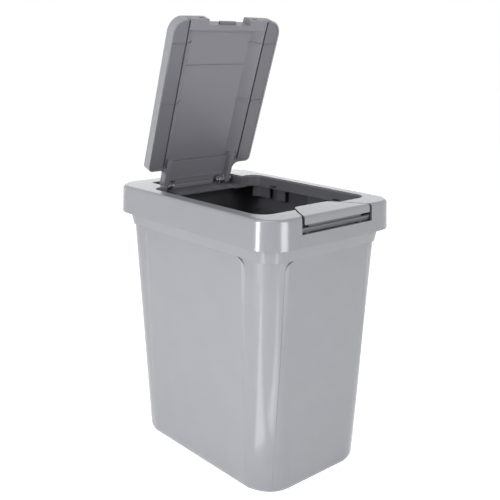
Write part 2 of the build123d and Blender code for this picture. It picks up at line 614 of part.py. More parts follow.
def make_inner_frame():
    """The dark frame under the collar: lid ledge, hinge trough, bar housing."""
    flange = RectangleRounded(
        2 * (COLLAR_HALF_X - COLLAR_WALL - FLANGE_GAP), 2 * (COLLAR_HALF_Y - COLLAR_WALL - FLANGE_GAP),
        COLLAR_CORNER_R - COLLAR_WALL - FLANGE_GAP)
    solid = slab(flange, flange_under_z, plate_under_z)
    solid += slab(opening_plan(BAND_WALL), band_bottom_z, plate_under_z)
    tab_x = (OPENING_HALF_X - LEDGE, OPENING_HALF_X + BAND_WALL)
    tab_z = (band_bottom_z - TAB_DEPTH, band_bottom_z)
    ring = opening_plan(BAND_WALL) - opening_plan()
    skirt = slab(ring, *tab_z)
    wanted = block(tab_x, (OPENING_BACK_Y - 2 * TAB_WIDTH, OPENING_BACK_Y + BAND_WALL), tab_z)
    wanted += block(tab_x, (OPENING_BACK_Y - 4 * TAB_WIDTH, OPENING_BACK_Y - 3 * TAB_WIDTH), tab_z)
    wanted += block(tab_x, (-3 * TAB_WIDTH, -TAB_WIDTH), tab_z)
    skirt &= both_sides(wanted)
    solid -= slab(opening_plan(), ledge_top_z, plate_under_z)
    solid -= slab(opening_plan(-LEDGE), band_bottom_z, ledge_top_z)
    solid += skirt
    for place in screw_places():
        cup = Pos(*place) * Circle(BOSS_R + CUP_FIT + CUP_WALL)
        solid += slab(cup, plate_under_z - BOSS_DEPTH - CUP_FLOOR, flange_under_z)
    gap = BAR_GAP / 2
    solid -= block((-LATCH_HALF_X, LATCH_HALF_X),
                   (-COLLAR_HALF_Y, OPENING_FRONT_Y + LEDGE + gap), (band_bottom_z, plate_under_z))
    trough_half = NOTCH_HALF_X
    solid -= block((-trough_half, trough_half), (OPENING_BACK_Y - LEDGE, NOTCH_BACK_Y),
                   (band_bottom_z, plate_under_z))
    solid += hinge_housing()
    solid += bar_housing()
    slot_half = PIN_R + PIN_RUN_GAP
    for sign in (-1, 1):
        ends = sorted((sign * NOTCH_HALF_X, sign * (pin_outer_x + PIN_OUTER_PAST_WALL / 2)))
        solid -= rod(ends, HINGE_Y, HINGE_Z, slot_half)
        solid -= block(ends, (HINGE_Y - slot_half, HINGE_Y + slot_half), (HINGE_Z, plate_under_z))
    for place in screw_places():
        bore = Pos(*place) * Circle(BOSS_R + CUP_FIT)
        solid -= slab(bore, plate_under_z - BOSS_DEPTH, plate_under_z)
        shank = Pos(*place) * Circle(SCREW_R + CUP_FIT)
        solid -= slab(shank, plate_under_z - BOSS_DEPTH - CUP_FLOOR, plate_under_z)
    return largest(solid)


# ------------------------------------------------------------------ lid pieces ----
def crown(drop):
    """A long round-topped block: the lid's crown, lowered by drop."""
    radius = crown_r - drop
    body = Rot(90, 0, 0) * Cylinder(radius, 4 * LID_HALF_X)
    return Pos(0, 0, lid_top_z - crown_r) * body


def lid_plan(inset):
    """The lid in plan, without its cut-out, drawn in evenly."""
    return plan(LID_HALF_X - inset, LID_FRONT_Y + inset, LID_BACK_Y - inset,
                LID_FRONT_R - inset, LID_BACK_R - inset)


def notch_block(grow):
    """The cut-out in the lid's front edge that goes round the push bar."""
    half = LID_NOTCH_HALF_X + grow
    return block((-half, half), (LID_FRONT_Y - LID_NOTCH_DEPTH, notch_bottom_y + grow),
                 (lid_rim_z - 1, lid_top_z + 1))


def make_lid_cover():
    """The silver outer shell, in the closed pose."""
    skin = slab(lid_plan(0), lid_rim_z, lid_top_z) & crown(0)
    top = skin.edges().filter_by(lambda e: e.bounding_box().min.Z > lid_rim_z + LID_EDGE_HEIGHT / 2)
    skin = fillet(top, LID_EDGE_R)
    inside = slab(lid_plan(COVER_WALL), lid_rim_z, lid_top_z) & crown(COVER_TOP)
    shell = skin - inside
    skirt_z = (lid_rim_z, lid_side_z - FRONT_SKIRT_LEFT)
    shell -= block((-FRONT_SKIRT_CUT_HALF_X, FRONT_SKIRT_CUT_HALF_X),
                   (LID_FRONT_Y - 1, LID_FRONT_Y + COVER_WALL), skirt_z)
    tongue_clear = TONGUE_HALF_X + TONGUE_ROOT_R + LINER_GAP
    shell -= block((-tongue_clear, tongue_clear), (LID_BACK_Y - COVER_WALL, LID_BACK_Y + 1),
                   (lid_rim_z, tongue_top_z + LINER_GAP))
    shell -= notch_block(0)
    return largest(shell)


def pan_form(grow, drop):
    """The hollow under the lid's middle, with sloping side walls."""
    low_z = lid_rim_z
    high_z = lid_top_z
    back_y = LID_BACK_Y + LINER_WALL
    shapes = []
    for z, half, front in ((low_z, PAN_RIM_HALF_X, PAN_FRONT_Y),
                           (high_z, PAN_FLOOR_HALF_X, PAN_FRONT_Y + PAN_FRONT_SLOPE)):
        width = 2 * (half + grow)
        length = back_y - front + 2 * grow
        middle = (front - grow + back_y + grow) / 2
        shapes.append(Pos(0, middle, z) * Rectangle(width, length))
    return loft(shapes, ruled=True) & crown(drop)


def make_lid_liner():
    """The dark underside: side strips, sloped pan, hinge tongue and arms."""
    cover_gap = COVER_TOP + LINER_GAP
    fit = COVER_WALL + LINER_GAP
    outline = lid_plan(fit)
    front_lip = block((-FRONT_SKIRT_CUT_HALF_X + LINER_GAP, FRONT_SKIRT_CUT_HALF_X - LINER_GAP),
                      (LID_FRONT_Y + LINER_GAP, LID_FRONT_Y + fit + LINER_WALL),
                      (strip_under_z, lid_side_z - FRONT_SKIRT_LEFT - LINER_GAP))
    filled = (slab(outline, strip_under_z, lid_top_z) & crown(cover_gap)) + front_lip
    hollow = slab(lid_plan(fit + LINER_WALL), strip_top_z, lid_top_z) & crown(0)
    hollow -= pan_form(LINER_WALL, 0)
    hollow -= notch_block(LINER_WALL)
    solid = filled - hollow - pan_form(0, cover_gap + LINER_WALL)
    solid -= notch_block(0)

    tongue = Pos(0, (LID_BACK_Y + HINGE_Y + TONGUE_HEEL) / 2 - LINER_WALL) * Rectangle(
        2 * TONGUE_HALF_X, HINGE_Y + TONGUE_HEEL - LID_BACK_Y + 2 * LINER_WALL)
    root_half = TONGUE_HALF_X + TONGUE_ROOT_R
    root = Pos(0, LID_BACK_Y - 2 * LINER_WALL) * Rectangle(2 * root_half, 4 * LINER_WALL)
    web_plan = tongue + root
    inner = [v for v in web_plan.vertices()
             if abs(abs(v.X) - TONGUE_HALF_X) < 0.01 and abs(v.Y - LID_BACK_Y) < 0.01]
    web_plan = fillet(inner, TONGUE_ROOT_R - LINER_GAP)
    web = slab(web_plan, web_under_z, tongue_top_z)
    window_x = (WEB_HALF_X, arm_inner_x)
    web -= both_sides(block(window_x, (HINGE_Y - WEB_WINDOW_FRONT, HINGE_Y + 2 * TONGUE_HEEL),
                            (web_under_z, tongue_top_z)))
    web -= both_sides(block((arm_inner_x, TONGUE_HALF_X), (HINGE_Y, HINGE_Y + 2 * TONGUE_HEEL),
                            (web_under_z, tongue_top_z)))
    solid += web
    shoulder = web_plan & Pos(0, LID_BACK_Y + (TONGUE_ROOT_R - fit) / 2) * Rectangle(
        2 * root_half, TONGUE_ROOT_R + fit)
    shoulder -= Pos(0, LID_BACK_Y) * Rectangle(2 * arm_inner_x, 4 * TONGUE_ROOT_R)
    solid += slab(shoulder, lid_rim_z, tongue_top_z)

    arm = Pos(HINGE_Y, HINGE_Z) * Circle(knuckle_r)
    arm_length = HINGE_Y - ARM_ROOT_Y
    arm += Pos(ARM_ROOT_Y + arm_length / 2, HINGE_Z) * Rectangle(arm_length, 2 * knuckle_r)
    solid += both_sides(side_profile(arm, arm_inner_x, TONGUE_HALF_X))
    reach = TONGUE_HALF_X
    solid -= rod((-reach, reach), HINGE_Y, HINGE_Z, PIN_R + PIN_PRESS_GAP)

    rib_middle = LID_FRONT_Y + PAN_RIB_AT
    rib_y = (rib_middle - PAN_RIB_WIDTH / 2, rib_middle + PAN_RIB_WIDTH / 2)
    pan_rib = block((-PAN_RIM_HALF_X, PAN_RIM_HALF_X), rib_y, (lid_rim_z, lid_top_z))
    pan_rib &= pan_form(0, cover_gap + LINER_WALL / 2)
    pan_rib -= crown(cover_gap + LINER_WALL + PAN_RIB_HEIGHT)
    solid += pan_rib
    wall_skin = pan_form(0, cover_gap + LINER_WALL / 2) - pan_form(-WALL_RIB_ACROSS, 0)
    for depth in STRIP_RIBS_AT:
        y = LID_FRONT_Y + depth
        rib_y = (y - STRIP_RIB_WIDTH / 2, y + STRIP_RIB_WIDTH / 2)
        strip_rib = block((PAN_RIM_HALF_X + LINER_WALL, LID_HALF_X - fit), rib_y,
                          (strip_under_z - STRIP_RIB_HEIGHT, strip_under_z))
        wall_rib = block((PAN_FLOOR_HALF_X, PAN_RIM_HALF_X), rib_y, (strip_under_z, lid_top_z))
        solid += both_sides(strip_rib)
        solid += both_sides(wall_rib & wall_skin)

    width, depth = PAN_GROOVE
    groove_x = (PAN_RIM_HALF_X - width / 2, PAN_RIM_HALF_X + width / 2)
    groove_y = (LID_FRONT_Y + fit, LID_BACK_Y - fit - LINER_WALL)
    groove_top = strip_under_z + depth
    backing = block((groove_x[0] - LINER_WALL, groove_x[1] + LINER_WALL), (groove_y[0], LID_BACK_Y - fit),
                    (strip_under_z, groove_top + LINER_WALL))
    solid += both_sides(backing) - pan_form(0, cover_gap + LINER_WALL)
    solid -= both_sides(block(groove_x, groove_y, (lid_rim_z, groove_top)))

    rib_back = HINGE_Y - WEB_WINDOW_FRONT - TONGUE_RIB_AHEAD
    solid += block((-arm_inner_x, arm_inner_x), (rib_back - PAN_RIB_WIDTH, rib_back),
                   (web_under_z - PAN_RIB_HEIGHT, web_under_z))

    catch_z = catch_span_z()
    slot = block((-CATCH_HALF_X - CATCH_FIT, CATCH_HALF_X + CATCH_FIT),
                 (notch_bottom_y - 1, notch_bottom_y + 2 * LINER_WALL),
                 (catch_z[0] - CATCH_FIT, catch_z[1] + CATCH_FIT))
    solid -= slot
    width, height = SNAP_WINDOW
    middle_z = strip_top_z + height
    snap = block((SNAP_X - width / 2, SNAP_X + width / 2), (LID_FRONT_Y, LID_FRONT_Y + 2 * fit),
                 (middle_z - height / 2, middle_z + height / 2))
    solid -= both_sides(snap)
    return largest(solid)


def catch_span_z():
    """Height of the catch's nose, just under the push bar's back lip."""
    top = bar_under_z - CATCH_BELOW_LIP
    return (top - CATCH_THICK, top)


def make_lid_catch():
    """The nose that snaps under the push bar, in the closed pose."""
    low_z, high_z = catch_span_z()
    flange_y = notch_bottom_y + LINER_WALL + CATCH_FIT
    nose = block((-CATCH_HALF_X, CATCH_HALF_X), (catch_tip_y, flange_y + CATCH_FLANGE),
                 (low_z, high_z))
    lead = nose.edges().filter_by(Axis.X).group_by(Axis.Y)[0].sort_by(Axis.Z)[0]
    nose = chamfer(lead, CATCH_THICK / 2)
    over = CATCH_FLANGE_OVER
    nose += block((-CATCH_HALF_X - over, CATCH_HALF_X + over), (flange_y, flange_y + CATCH_FLANGE),
                  (strip_top_z + CATCH_FIT, high_z + CATCH_FIT))
    return largest(nose)


def make_hinge_pin(sign):
    """A plain steel pin, fixed in the lid's arm and free in the frame."""
    ends = sorted((sign * PIN_INNER_X, sign * pin_outer_x))
    pin = rod(ends, HINGE_Y, HINGE_Z, PIN_R)
    return chamfer(pin.edges().filter_by(GeomType.CIRCLE), PIN_EDGE)


def make_lid_spring(sign):
    """A torsion spring round the pin, wound for the open lid."""
    fixed_deg = 180.0
    moving_deg = -SPRING_LEG_DEG - LID_OPEN_DEG
    turn = moving_deg - fixed_deg - 360 * (SPRING_TURNS - 1)
    floor_leg = HINGE_Z - stop_floor_z() - SPRING_FLOOR_GAP - SPRING_WIRE_R
    rise = -SPRING_COIL_R * cos(radians(SPRING_LEG_DEG - 90))
    climb = web_under_z - HINGE_Z - SPRING_WIRE_R - SPRING_FLOOR_GAP - rise
    lid_leg = climb / sin(radians(SPRING_LEG_DEG - 90)) - SPRING_WIRE_R
    spring = coil(SPRING_COIL_R, SPRING_PITCH, fixed_deg, turn, SPRING_WIRE_R, floor_leg, lid_leg)
    length = SPRING_PITCH * abs(turn) / 360
    start_x = arm_inner_x - SPRING_ARM_GAP - SPRING_WIRE_R - length
    spring = Pos(start_x, HINGE_Y, HINGE_Z) * spring
    return spring if sign > 0 else mirror(spring, about=Plane.YZ)


# -------------------------------------------------------------------- push bar ----
def make_push_bar():
    """The pressed bar in the collar's front edge, with ears and stop hooks."""
    solid = collar_skin() & slab(bar_plan(), bar_face_z, COLLAR_TOP_Z)
    inside = collar_form(COLLAR_WALL, COLLAR_PLATE) & slab(bar_plan(-BAR_WALL), bar_face_z,
                                                           COLLAR_TOP_Z)
    solid -= inside
    clear = CATCH_HALF_X + BAR_WALL
    solid -= block((-clear, clear), (bar_back_y - BAR_WALL - CATCH_HOLD, bar_back_y + 1),
                   (bar_face_z, bar_under_z))
    ear = Pos(BAR_PIVOT_Y, BAR_PIVOT_Z) * Circle(EAR_R)
    ear_height = bar_under_z + COLLAR_PLATE / 2 - BAR_PIVOT_Z
    ear += Pos(BAR_PIVOT_Y, BAR_PIVOT_Z + ear_height / 2) * Rectangle(2 * EAR_R, ear_height)
    solid += both_sides(side_profile(ear, EAR_X, EAR_X + EAR_THICK))
    reach = EAR_X + EAR_THICK
    solid -= rod((-reach, reach), BAR_PIVOT_Y, BAR_PIVOT_Z, ROD_R + ROD_RUN_GAP)
    toe_top = latch_under_z - HOOK_GAP
    arm_back = latch_front_y + HOOK_TOE + LATCH_WALL
    x_span = (HOOK_X, HOOK_X + HOOK_WIDTH)
    hook = block(x_span, (arm_back - HOOK_ARM, arm_back), (toe_top - HOOK_TOE_THICK, bar_under_z + 1))
    hook += block(x_span, (latch_front_y + HOOK_TOE_BACK, arm_back), (toe_top - HOOK_TOE_THICK, toe_top))
    solid += both_sides(hook)
    return largest(solid)


def rod_end_x():
    """Half the length of the bar's pivot rod."""
    return BRACKET_X + BRACKET_THICK + ROD_CLIP_THICK + ROD_PAST_CLIP


def make_pivot_rod():
    """The steel rod that the push bar rocks on."""
    reach = rod_end_x()
    steel = rod((-reach, reach), BAR_PIVOT_Y, BAR_PIVOT_Z, ROD_R)
    return chamfer(steel.edges().filter_by(GeomType.CIRCLE), PIN_EDGE)


def make_rod_clips():
    """Two push-on washers outside the brackets."""
    clips = []
    for sign in (-1, 1):
        start = BRACKET_X + BRACKET_THICK
        ends = sorted((sign * start, sign * (start + ROD_CLIP_THICK)))
        washer = rod(ends, BAR_PIVOT_Y, BAR_PIVOT_Z, ROD_CLIP_R)
        washer -= rod(ends, BAR_PIVOT_Y, BAR_PIVOT_Z, ROD_R + ROD_HOLD_GAP)
        clips.append(washer.solid())
    return Compound(clips)


def make_bar_spring(sign):
    """A small compression spring between the housing's floor and the bar."""
    low = latch_floor_z + BAR_SPRING_GAP + BAR_SPRING_WIRE_R
    high = bar_under_z - BAR_SPRING_GAP - BAR_SPRING_WIRE_R
    pitch = (high - low) / BAR_SPRING_TURNS
    tail = 2 * BAR_SPRING_WIRE_R
    spring = coil(BAR_SPRING_R, pitch, 0, 360 * BAR_SPRING_TURNS, BAR_SPRING_WIRE_R, tail, tail)
    return Pos(sign * BAR_SPRING_X, BAR_SPRING_Y, low) * (Rot(0, -90, 0) * spring)


# --------------------------------------------------------------- small fixings ----
def make_frame_screws():
    """Six pan-head screws up through the frame's cups into the collar's bosses."""
    head_top = plate_under_z - BOSS_DEPTH - CUP_FLOOR
    screws = []
    for place in screw_places():
        shank = slab(Pos(*place) * Circle(SCREW_R), head_top, head_top + CUP_FLOOR + SCREW_BITE)
        head = slab(Pos(*place) * Circle(SCREW_HEAD_R), head_top - SCREW_HEAD, head_top)
        head = fillet(head.edges().sort_by(Axis.Z)[0], SCREW_HEAD / 2)
        screws.append((head + shank).solid())
    return Compound(screws)


def make_lid_pads():
    """Four soft pads on the ledge that the closed lid rests on."""
    width, length = PAD_SIZE
    middle_x = LID_HALF_X - COVER_WALL / 2
    top = lid_rim_z - PAD_GAP
    pads = []
    for sign in (-1, 1):
        for depth in PADS_AT:
            pad = Pos(sign * middle_x, LID_FRONT_Y + depth) * RectangleRounded(width, length, width / 2 - 0.1)
            pads.append(slab(pad, ledge_top_z, top).solid())
    return Compound(pads)


# ------------------------------------------------------------------- write out ----
NODES = {
    "bin_body": make_bin_body,
    "collar": make_collar,
    "inner_frame": make_inner_frame,
    "frame_screws": make_frame_screws,
    "lid_rest_pads": make_lid_pads,
    "lid_cover": lambda: opened(make_lid_cover()),
    "lid_liner": lambda: opened(make_lid_liner()),
    "lid_catch": lambda: opened(make_lid_catch()),
    "hinge_pin_left": lambda: make_hinge_pin(-1),
    "hinge_pin_right": lambda: make_hinge_pin(1),
    "lid_spring_left": lambda: make_lid_spring(-1),
    "lid_spring_right": lambda: make_lid_spring(1),
    "push_bar": make_push_bar,
    "bar_pivot_rod": make_pivot_rod,
    "bar_rod_clips": make_rod_clips,
    "bar_spring_left": lambda: make_bar_spring(-1),
    "bar_spring_right": lambda: make_bar_spring(1),
}

os.makedirs("parts", exist_ok=True)
for name, make in NODES.items():
    export_step(make(), f"parts/{name}.step")
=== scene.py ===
# %% [markdown]
# # A countertop waste bin with a push bar and a sprung lid
# The CAD model is already exact: the bin, its collar, the dark frame under the
# collar, the lid and its hinge.  This script loads it as a fixed frame, gives
# every piece the finish of the real one, with painted shade inside the body, adds
# dark crosses of painted shade for the drives that the CAD screws lack, and sets
# up a camera and lamps to shoot the bin as a shop would, on white.

# %% Load the imported model
from math import radians

import bpy
from mathutils import Matrix, Vector


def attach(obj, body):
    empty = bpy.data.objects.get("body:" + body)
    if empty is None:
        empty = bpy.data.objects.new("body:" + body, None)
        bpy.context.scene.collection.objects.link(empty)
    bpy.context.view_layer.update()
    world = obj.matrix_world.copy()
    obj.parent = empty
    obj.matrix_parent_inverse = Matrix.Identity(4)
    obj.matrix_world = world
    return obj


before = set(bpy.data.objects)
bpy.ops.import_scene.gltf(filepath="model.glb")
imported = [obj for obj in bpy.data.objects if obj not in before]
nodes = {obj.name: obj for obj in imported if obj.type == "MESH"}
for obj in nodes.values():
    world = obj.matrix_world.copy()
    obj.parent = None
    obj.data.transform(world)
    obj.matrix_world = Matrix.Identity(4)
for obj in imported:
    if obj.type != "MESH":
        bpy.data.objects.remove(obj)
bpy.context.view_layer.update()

MM = 0.001
print("pieces in the frame:", sorted(nodes))

# %% [markdown]
# ## The camera
# A product shot has its own viewpoint, and everything else is judged through
# it, so the camera comes first.  Its place was solved from the edges of the
# collar, the base and the lid.  It stands at the bin's front left corner, a
# little above the lid's hinge, and looks down by about fifteen degrees.  A lens
# of 57 mm keeps the tall body's sides nearly parallel, as in the photograph.

# %% Camera
CAMERA_PLACE = (-0.5834, -0.6594, 0.4768)
CAMERA_TURN = 41.551        # degrees, from +Y towards +X
CAMERA_DIP = 15.037         # degrees below the horizon
CAMERA_ROLL = 0.539
LENS_MM = 56.80
SENSOR_MM = 36.0

lens = bpy.data.cameras.new("shop_camera")
lens.lens = LENS_MM
lens.sensor_width = SENSOR_MM
lens.clip_start = 0.01
camera = bpy.data.objects.new("shop_camera", lens)
bpy.context.scene.collection.objects.link(camera)
turn = Matrix.Rotation(radians(-CAMERA_TURN), 4, "Z")
dip = Matrix.Rotation(radians(90 - CAMERA_DIP), 4, "X")
roll = Matrix.Rotation(radians(CAMERA_ROLL), 4, "Z")
camera.matrix_world = Matrix.Translation(CAMERA_PLACE) @ turn @ dip @ roll
bpy.context.scene.camera = camera
bpy.context.scene.view_settings.view_transform = "Standard"
print("camera at", CAMERA_PLACE, "lens", LENS_MM, "mm")

# %% [markdown]
# ## Three small tools for materials
# Colours are picked from paint charts and photographs as sRGB hex values, but
# the shader works in linear light, so one function turns the one into the
# other.  A second function adds a node, sets its sockets and links it, which
# keeps each material below short enough to read.  A third starts a material
# with what all of them need.

# %% Colour and node helpers
def colour(hex_code):
    """A colour such as "#A9ABAD" as linear red, green, blue and alpha."""
    parts = [int(hex_code[i:i + 2], 16) / 255 for i in (1, 3, 5)]
    linear = [c / 12.92 if c <= 0.04045 else ((c + 0.055) / 1.055) ** 2.4 for c in parts]
    return (*linear, 1.0)


def add_node(tree, kind, settings=None, **links):
    """A node of one kind; a socket gets a value, or a link from another node's socket."""
    node = tree.nodes.new(kind)
    for name, value in (settings or {}).items():
        setattr(node, name, value)
    for name, value in links.items():
        socket = node.inputs[int(name[1:])] if name[1:].isdigit() else node.inputs[name.replace("_", " ")]
        if isinstance(value, bpy.types.NodeSocket):
            tree.links.new(value, socket)
        else:
            socket.default_value = value
    return node


def new_material(name):
    """An empty material: its node tree, its shader and a socket with Object coordinates."""
    material = bpy.data.materials.new(name)
    material.use_nodes = True
    tree = material.node_tree
    shader = next(n for n in tree.nodes if n.type == "BSDF_PRINCIPLED")
    place = add_node(tree, "ShaderNodeTexCoord").outputs["Object"]
    return material, tree, shader, place


# %% [markdown]
# ## Silver polypropylene
# The body, the collar, the lid's cover and the push bar are injection moulded
# in polypropylene with a fine aluminium pigment, from a polished mould.  The
# pigment gives a soft metallic grey, and the polish gives clear reflections of
# the studio's softboxes on the round corners.  The flow of the melt leaves the
# pigment slightly cloudy, in patches of a few centimetres, so a faint noise
# varies the colour.  Polypropylene has an IOR of 1.49.

# %% Silver plastic
POLYPROPYLENE_IOR = 1.49
PIGMENT_CLOUD = 30 * MM     # size of a patch in the pigment
CLOUD_DETAIL = 2.0
SILVER = "#95969B"
SILVER_CLOUD = "#9A9BA0"
PIGMENT_METAL = 0.25
COLLAR_ROUGHNESS = 0.22
LID_ROUGHNESS = 0.25


def cloudy_silver(tree, place):
    """The colour of the pigmented plastic, with its faint patches."""
    noise = add_node(tree, "ShaderNodeTexNoise", Vector=place, Scale=1 / PIGMENT_CLOUD,
                     Detail=CLOUD_DETAIL)
    mix = add_node(tree, "ShaderNodeMix", {"data_type": "RGBA"}, _0=noise.outputs["Fac"],
                   _6=colour(SILVER), _7=colour(SILVER_CLOUD))
    return mix.outputs[2]


def silver_plastic(name, roughness):
    """Polished polypropylene with aluminium pigment."""
    material, tree, shader, place = new_material(name)
    tree.links.new(cloudy_silver(tree, place), shader.inputs["Base Color"])
    shader.inputs["Metallic"].default_value = PIGMENT_METAL
    shader.inputs["Roughness"].default_value = roughness
    shader.inputs["IOR"].default_value = POLYPROPYLENE_IOR
    return material


# %% [markdown]
# ## Painted shade inside the body
# Looking down into the bin, its walls are nearly black in shade, though the outside
# is silver, so the inside faces of the wall are painted charcoal as painted shade.
# The body is one node, so its material has to tell the two sides of the wall
# apart.  On the outside a wall's normal points away from the bin's middle and on
# the inside it points towards it, so the dot product of the normal and the place,
# in plan, says which side a point is on.  It is at least five centimetres outside
# and near nothing on the floor, so the limit lies in between, and the underside is
# left out by its height over the counter.

# %% Body plastic, silver outside, with painted shade inside
# painted shade: this charcoal stands in for the shade on the bin's inside walls
PAINTED_SHADE_INSIDE = "#58585D"
INSIDE_ROUGHNESS = 0.62     # the inside of the mould is only blasted
BODY_ROUGHNESS = 0.2
FLOOR_TOP = 2.0 * MM        # the inside starts above this height
OUTWARD_LEAST = 15 * MM     # outside, a place lies at least this far along its normal


def body_plastic_with_painted_shade():
    """Silver outside, with charcoal painted shade inside."""
    material, tree, shader, place = new_material("silver_body_with_painted_shade_inside")
    silver = cloudy_silver(tree, place)
    normal = add_node(tree, "ShaderNodeNewGeometry").outputs["Normal"]
    in_plan = add_node(tree, "ShaderNodeVectorMath", {"operation": "MULTIPLY"}, _0=place,
                       _1=(1.0, 1.0, 0.0))
    facing = add_node(tree, "ShaderNodeVectorMath", {"operation": "DOT_PRODUCT"},
                      _0=in_plan.outputs[0], _1=normal)
    inward = add_node(tree, "ShaderNodeMath", {"operation": "LESS_THAN"},
                      _0=facing.outputs["Value"], _1=OUTWARD_LEAST)
    height = add_node(tree, "ShaderNodeSeparateXYZ", Vector=place).outputs["Z"]
    above = add_node(tree, "ShaderNodeMath", {"operation": "GREATER_THAN"}, _0=height, _1=FLOOR_TOP)
    # 1 on the inward faces above the floor, which take the painted shade
    inside = add_node(tree, "ShaderNodeMath", {"operation": "MULTIPLY"}, _0=inward.outputs[0],
                      _1=above.outputs[0])
    mix = add_node(tree, "ShaderNodeMix", {"data_type": "RGBA"}, _0=inside.outputs[0], _6=silver,
                   _7=colour(PAINTED_SHADE_INSIDE))
    tree.links.new(mix.outputs[2], shader.inputs["Base Color"])
    for socket, outer, inner in (("Metallic", PIGMENT_METAL, 0.0),
                                 ("Roughness", BODY_ROUGHNESS, INSIDE_ROUGHNESS)):
        blend = add_node(tree, "ShaderNodeMapRange", Value=inside.outputs[0], _3=outer, _4=inner)
        tree.links.new(blend.outputs[0], shader.inputs[socket])
    shader.inputs["IOR"].default_value = POLYPROPYLENE_IOR
    return material


# %% [markdown]
# ## Dark grey plastic
# The underside of the lid, the frame under the collar and the catch are
# moulded in plain dark grey polypropylene.  The mould was only blasted, so the
# surface is satin, and its fine grain of about half a millimetre breaks up the
# reflections.  The grain is a bump, too shallow to change the outline.  The pan in
# the middle of the lid's underside is a tone lighter than the strips beside it.

# %% Dark plastic
GRAIN = 0.5 * MM
GRAIN_DEPTH = 0.01 * MM
GRAIN_STRENGTH = 0.3
GRAIN_DETAIL = 1.0
PAN_HALF_WIDTH = 55.0 * MM  # from the lid's middle to the groove beside the pan
LINER_ROUGHNESS = 0.38
FRAME_ROUGHNESS = 0.42


def dark_plastic(name, base, roughness, pan=None):
    """Satin polypropylene from a blasted mould, with its own colour in the middle if given."""
    material, tree, shader, place = new_material(name)
    if pan:
        across = add_node(tree, "ShaderNodeSeparateXYZ", Vector=place).outputs["X"]
        away = add_node(tree, "ShaderNodeMath", {"operation": "ABSOLUTE"}, _0=across)
        middle = add_node(tree, "ShaderNodeMath", {"operation": "LESS_THAN"}, _0=away.outputs[0],
                          _1=PAN_HALF_WIDTH)
        mix = add_node(tree, "ShaderNodeMix", {"data_type": "RGBA"}, _0=middle.outputs[0],
                       _6=colour(base), _7=colour(pan))
        tree.links.new(mix.outputs[2], shader.inputs["Base Color"])
    grain = add_node(tree, "ShaderNodeTexNoise", Vector=place, Scale=1 / GRAIN, Detail=GRAIN_DETAIL)
    bump = add_node(tree, "ShaderNodeBump", Height=grain.outputs["Fac"], Strength=GRAIN_STRENGTH,
                    Distance=GRAIN_DEPTH)
    tree.links.new(bump.outputs["Normal"], shader.inputs["Normal"])
    shader.inputs["Base Color"].default_value = colour(base)
    shader.inputs["Roughness"].default_value = roughness
    shader.inputs["IOR"].default_value = POLYPROPYLENE_IOR
    return material


# %% [markdown]
# ## Steel and rubber
# Pins, rod, clips, springs and screws are steel: the pins are drawn bright, the
# springs are hard-drawn wire, and the screws are zinc plated, which is bluer
# and duller.  A metal keeps the shader's own IOR.  The lid rests on four soft
# rubber pads, which scatter light so widely that they look matt.

# %% Steel and rubber
def plain(name, base, roughness, metallic=0.0):
    """A finish of one colour all over."""
    material, tree, shader, place = new_material(name)
    shader.inputs["Base Color"].default_value = colour(base)
    shader.inputs["Roughness"].default_value = roughness
    shader.inputs["Metallic"].default_value = metallic
    return material


bright_steel = plain("bright_drawn_steel", "#C9CACC", 0.22, 1.0)
spring_wire = plain("hard_drawn_spring_wire", "#909194", 0.4, 1.0)
zinc_plate = plain("zinc_plated_steel", "#B9BEC4", 0.38, 1.0)
# painted shade: the dark crosses stand in for the shade in the screws' drive recesses
drive_shadow = plain("painted_shade_screw_drive", "#26282A", 0.6, 0.6)
pad_rubber = plain("soft_rubber", "#1F1F20", 0.8)

# %% [markdown]
# ## Which piece gets which finish
# A CAD node keeps its shape and only its material slots are filled.  The lid's
# underside is a little lighter than the frame in the collar, as the photograph
# shows.

# %% Give every piece its finish
FINISHES = {
    "bin_body": body_plastic_with_painted_shade(),
    "collar": silver_plastic("silver_polypropylene_collar", COLLAR_ROUGHNESS),
    "lid_cover": silver_plastic("silver_polypropylene_lid", LID_ROUGHNESS),
    "push_bar": silver_plastic("silver_polypropylene_bar", LID_ROUGHNESS),
    "inner_frame": dark_plastic("charcoal_polypropylene_frame", "#68686E", FRAME_ROUGHNESS),
    "lid_liner": dark_plastic("grey_polypropylene_liner", "#7A7980", LINER_ROUGHNESS, pan="#8D8C94"),
    "lid_catch": dark_plastic("grey_polypropylene_catch", "#7C7B82", LINER_ROUGHNESS),
    "frame_screws": zinc_plate,
    "lid_rest_pads": pad_rubber,
    "hinge_pin_left": bright_steel,
    "hinge_pin_right": bright_steel,
    "lid_spring_left": spring_wire,
    "lid_spring_right": spring_wire,
    "bar_pivot_rod": bright_steel,
    "bar_rod_clips": spring_wire,
    "bar_spring_left": spring_wire,
    "bar_spring_right": spring_wire,
}
for name, finish in FINISHES.items():
    slots = nodes[name].data.materials
    slots.clear()
    slots.append(finish)
print("finishes on", len(FINISHES), "pieces")

# %% [markdown]
# ## Painted shade for the cross drives in the screw heads
# Each screw under the frame has a cross-shaped recess for the driver.  The CAD
# screws can't be cut here, so a thin dark cross of painted shade lies on each head
# instead, standing in for the shade in the recess, which looks the same from any
# distance at which the heads are seen.  Six equal crosses are a job for Geometry
# Nodes: the screws' middles are points, and a cross of two bars is instanced on
# each.  The places are read from the CAD screws, by grouping the vertices of
# their heads.

# %% Where the screws are
HEAD_FACE = 0.05 * MM       # a head's flat face lies within this height
SCREW_CELL = 15 * MM        # screws lie further apart than this along the bin


def screw_heads():
    """The middle of each screw head's lowest face."""
    spots = [vertex.co for vertex in nodes["frame_screws"].data.vertices]
    low = min(spot.z for spot in spots)
    groups = {}
    for spot in spots:
        if spot.z < low + HEAD_FACE:
            key = (spot.x > 0, round(spot.y / SCREW_CELL))
            groups.setdefault(key, []).append(spot)
    return [sum(group, Vector()) / len(group) for group in groups.values()]


heads = screw_heads()
print("screws found:", len(heads))

# %% Cross drives by Geometry Nodes
DRIVE_LENGTH = 2.4 * MM
DRIVE_WIDTH = 0.6 * MM
DRIVE_HEIGHT = 0.1 * MM


